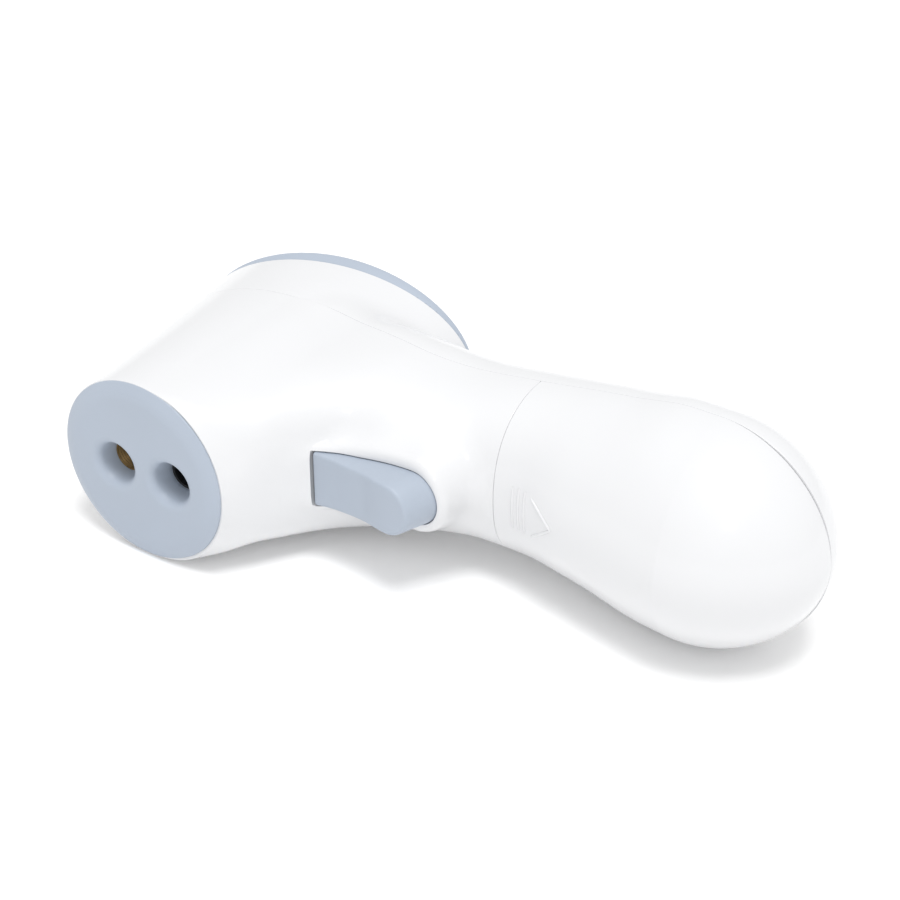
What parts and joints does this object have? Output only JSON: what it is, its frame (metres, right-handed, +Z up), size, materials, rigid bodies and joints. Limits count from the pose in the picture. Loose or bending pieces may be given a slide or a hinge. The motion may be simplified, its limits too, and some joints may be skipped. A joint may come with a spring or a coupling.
{
  "type": "infrared forehead thermometer",
  "caption": "Pistol-shaped non-contact digital thermometer with a round sensor end, oval display end, trigger and battery handle.",
  "frame": {"origin": "centre of the bounding box's underside, on the surface that the tool lies on", "axes": "+X runs down the handle from the sensor head to the rounded battery end, +Y runs from the sensor face back to the display, and +Z is up from the surface that the tool lies on, on its side"},
  "size_m": [0.1446, 0.0662, 0.0425],
  "materials": {
    "white_plastic": "smooth glossy white moulded ABS",
    "blue_grey_plastic": "satin blue-grey moulded ABS",
    "white_inner_plastic": "plain white moulded plastic inside",
    "black_plastic": "matt black moulded plastic",
    "clear_window": "smoked clear polycarbonate",
    "lcd": "liquid-crystal panel, switched off",
    "sensor_window": "dark infrared filter",
    "rubber": "grey silicone rubber",
    "circuit_board": "green solder-masked laminate",
    "brass": "turned brass, slightly dull",
    "steel": "nickel-plated steel",
    "cell_sleeve": "plain printed-film sleeve, blue",
    "red_insulation": "red wire insulation",
    "black_insulation": "black wire insulation"
  },
  "bodies": {
    "housing": {"front_shell": "white_plastic", "rear_shell": "white_plastic", "sensor_bezel": "blue_grey_plastic", "display_bezel": "blue_grey_plastic", "sensor_holder": "black_plastic", "sensor_tube": "brass", "distance_hood": "black_plastic", "thermopile_can": "steel", "thermopile_window": "sensor_window", "distance_sensor": "black_plastic", "sensor_board": "circuit_board", "sensor_screw_1": "steel", "sensor_screw_2": "steel", "sensor_cable": "black_insulation", "display_window": "clear_window", "lcd_frame": "white_inner_plastic", "lcd_panel": "lcd", "lcd_backlight": "white_inner_plastic", "zebra_strip_1": "rubber", "zebra_strip_2": "rubber", "main_board": "circuit_board", "microcontroller": "black_plastic", "buzzer": "black_plastic", "button_membrane": "rubber", "board_screw_1": "steel", "board_screw_2": "steel", "trigger_pin": "steel", "trigger_spring": "steel", "trigger_switch": "black_plastic", "switch_board": "circuit_board", "switch_wire": "black_insulation", "battery_tray": "white_inner_plastic", "battery_1": "cell_sleeve", "battery_2": "cell_sleeve", "contact_plus": "steel", "contact_minus": "steel", "bridge_contact": "steel", "tray_screw_1": "steel", "tray_screw_2": "steel", "wire_plus": "red_insulation", "wire_minus": "black_insulation"},
    "trigger_part": {"trigger": "blue_grey_plastic"},
    "switch_plunger_part": {"switch_plunger": "white_inner_plastic"},
    "memory_button_part": {"memory_button": "white_inner_plastic"},
    "mode_button_part": {"mode_button": "white_inner_plastic"},
    "sound_button_part": {"sound_button": "white_inner_plastic"},
    "cover_part": {"battery_cover": "white_plastic"}
  },
  "joints": [
    {"name": "trigger_pull", "type": "hinge", "parent": "housing", "child": "trigger_part", "pos_m": [-0.01333, -0.01197, 0.01908], "axis": [-0.0349, 0, 0.9994], "range_deg": [0, 4.5], "stiffness_Nm_per_rad": 0.15, "springref_deg": -5.73, "deforming": ["trigger_spring"]},
    {"name": "switch_press", "type": "slide", "parent": "housing", "child": "switch_plunger_part", "axis": [0, 1, 0], "range_m": [0, 0.0011]},
    {"name": "memory_button_press", "type": "slide", "parent": "housing", "child": "memory_button_part", "axis": [0.1615, -0.9869, 0.0056], "range_m": [0, 0.0006], "stiffness_N_per_m": 2500, "springref_m": -0.0002, "deforming": ["button_membrane"]},
    {"name": "mode_button_press", "type": "slide", "parent": "housing", "child": "mode_button_part", "axis": [0.1615, -0.9869, 0.0056], "range_m": [0, 0.0006], "stiffness_N_per_m": 2500, "springref_m": -0.0002, "deforming": ["button_membrane"]},
    {"name": "sound_button_press", "type": "slide", "parent": "housing", "child": "sound_button_part", "axis": [0.1615, -0.9869, 0.0056], "range_m": [0, 0.0006], "stiffness_N_per_m": 2500, "springref_m": -0.0002, "deforming": ["button_membrane"]},
    {"name": "cover_slide", "type": "slide", "parent": "housing", "child": "cover_part", "axis": [0.9842, -0.1736, 0.0344], "range_m": [0, 0.07]}
  ],
  "couplings": [
    {"joint": "switch_press", "follows": "trigger_pull", "m_per_rad": 0.0135}
  ]
}
